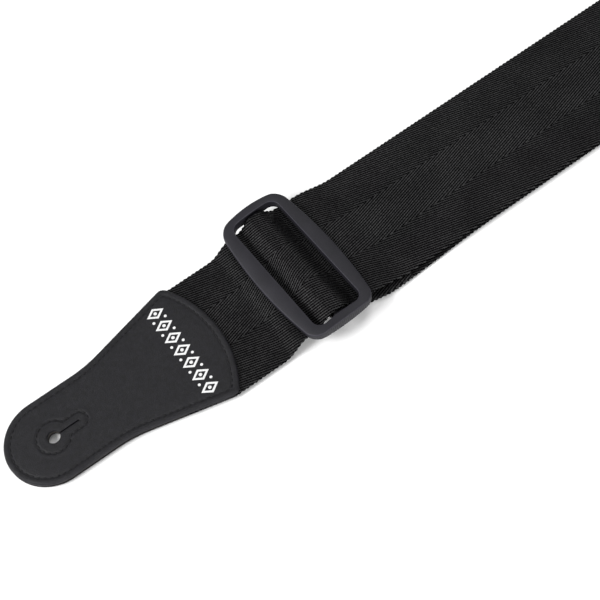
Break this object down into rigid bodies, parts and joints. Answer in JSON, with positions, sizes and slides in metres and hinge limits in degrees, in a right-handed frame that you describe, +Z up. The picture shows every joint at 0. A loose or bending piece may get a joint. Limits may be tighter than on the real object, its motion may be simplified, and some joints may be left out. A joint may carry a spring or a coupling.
{
  "type": "guitar strap",
  "caption": "Wide woven guitar strap with a sewn leather tab at each end, and a three-bar slider and rear loop that set its length.",
  "frame": {"origin": "centre of the front tab's button hole, at the underside of the tab", "axes": "+X along the strap towards the rear tab, +Y across the strap, +Z up out of the tab's top leather"},
  "size_m": [1.0038, 0.0886, 0.015],
  "materials": {
    "top_leather": "satin, fine grain",
    "backing_leather": "matt suede side",
    "stiffener": "pressed fibre board",
    "webbing": "herringbone woven nylon",
    "thread": "bonded thread",
    "hardware": "fine moulded texture",
    "ornament": "printed white transfer"
  },
  "bodies": {
    "webbing": {"front_flex": "webbing", "front_lead": "webbing", "tail_run": "webbing"},
    "front_tab": {"front_top_leather": "top_leather", "front_backing_leather": "backing_leather", "front_stiffener": "stiffener", "front_webbing_end": "webbing", "front_edge_stitching": "thread", "front_keyhole_stitching": "thread"},
    "slider_unit": {"slider": "hardware", "over_bar": "webbing", "bar_wrap": "webbing", "bar_wrap_stitching": "thread"},
    "turn": {"top_run": "webbing", "bottom_run": "webbing", "loop_turn": "webbing"},
    "loop": {"rear_loop": "hardware"},
    "stub": {"stub_wrap": "webbing", "stub_stitching": "thread", "rear_flex": "webbing"},
    "rear_tab": {"rear_webbing_end": "webbing", "rear_top_leather": "top_leather", "rear_backing_leather": "backing_leather", "rear_stiffener": "stiffener", "rear_edge_stitching": "thread", "rear_keyhole_stitching": "thread"}
  },
  "joints": [
    {"name": "front_bend", "type": "hinge", "parent": "webbing", "child": "front_tab", "pos_m": [0.108, 0, 0.0022], "axis": [0, 1, 0], "range_deg": [-90, 90], "deforming": ["front_flex"]},
    {"name": "slider_travel", "type": "slide", "parent": "webbing", "child": "slider_unit", "axis": [1, 0, 0], "range_m": [-0.01, 1.04], "deforming": ["tail_run"]},
    {"name": "webbing_feed", "type": "slide", "parent": "slider_unit", "child": "turn", "axis": [1, 0, 0], "range_m": [-0.521, 0.006], "deforming": ["top_run", "bottom_run"]},
    {"name": "loop_swivel", "type": "hinge", "parent": "turn", "child": "loop", "pos_m": [0.79, 0, 0.00398], "axis": [0, 1, 0], "range_deg": [-80, 80]},
    {"name": "stub_swivel", "type": "hinge", "parent": "loop", "child": "stub", "pos_m": [0.809, 0, 0.00398], "axis": [0, 1, 0], "range_deg": [-80, 80]},
    {"name": "rear_bend", "type": "hinge", "parent": "stub", "child": "rear_tab", "pos_m": [0.842, 0, 0.0022], "axis": [0, 1, 0], "range_deg": [-90, 90], "deforming": ["rear_flex"]}
  ],
  "couplings": [
    {"joint": "webbing_feed", "follows": "slider_travel", "ratio": -0.5}
  ]
}
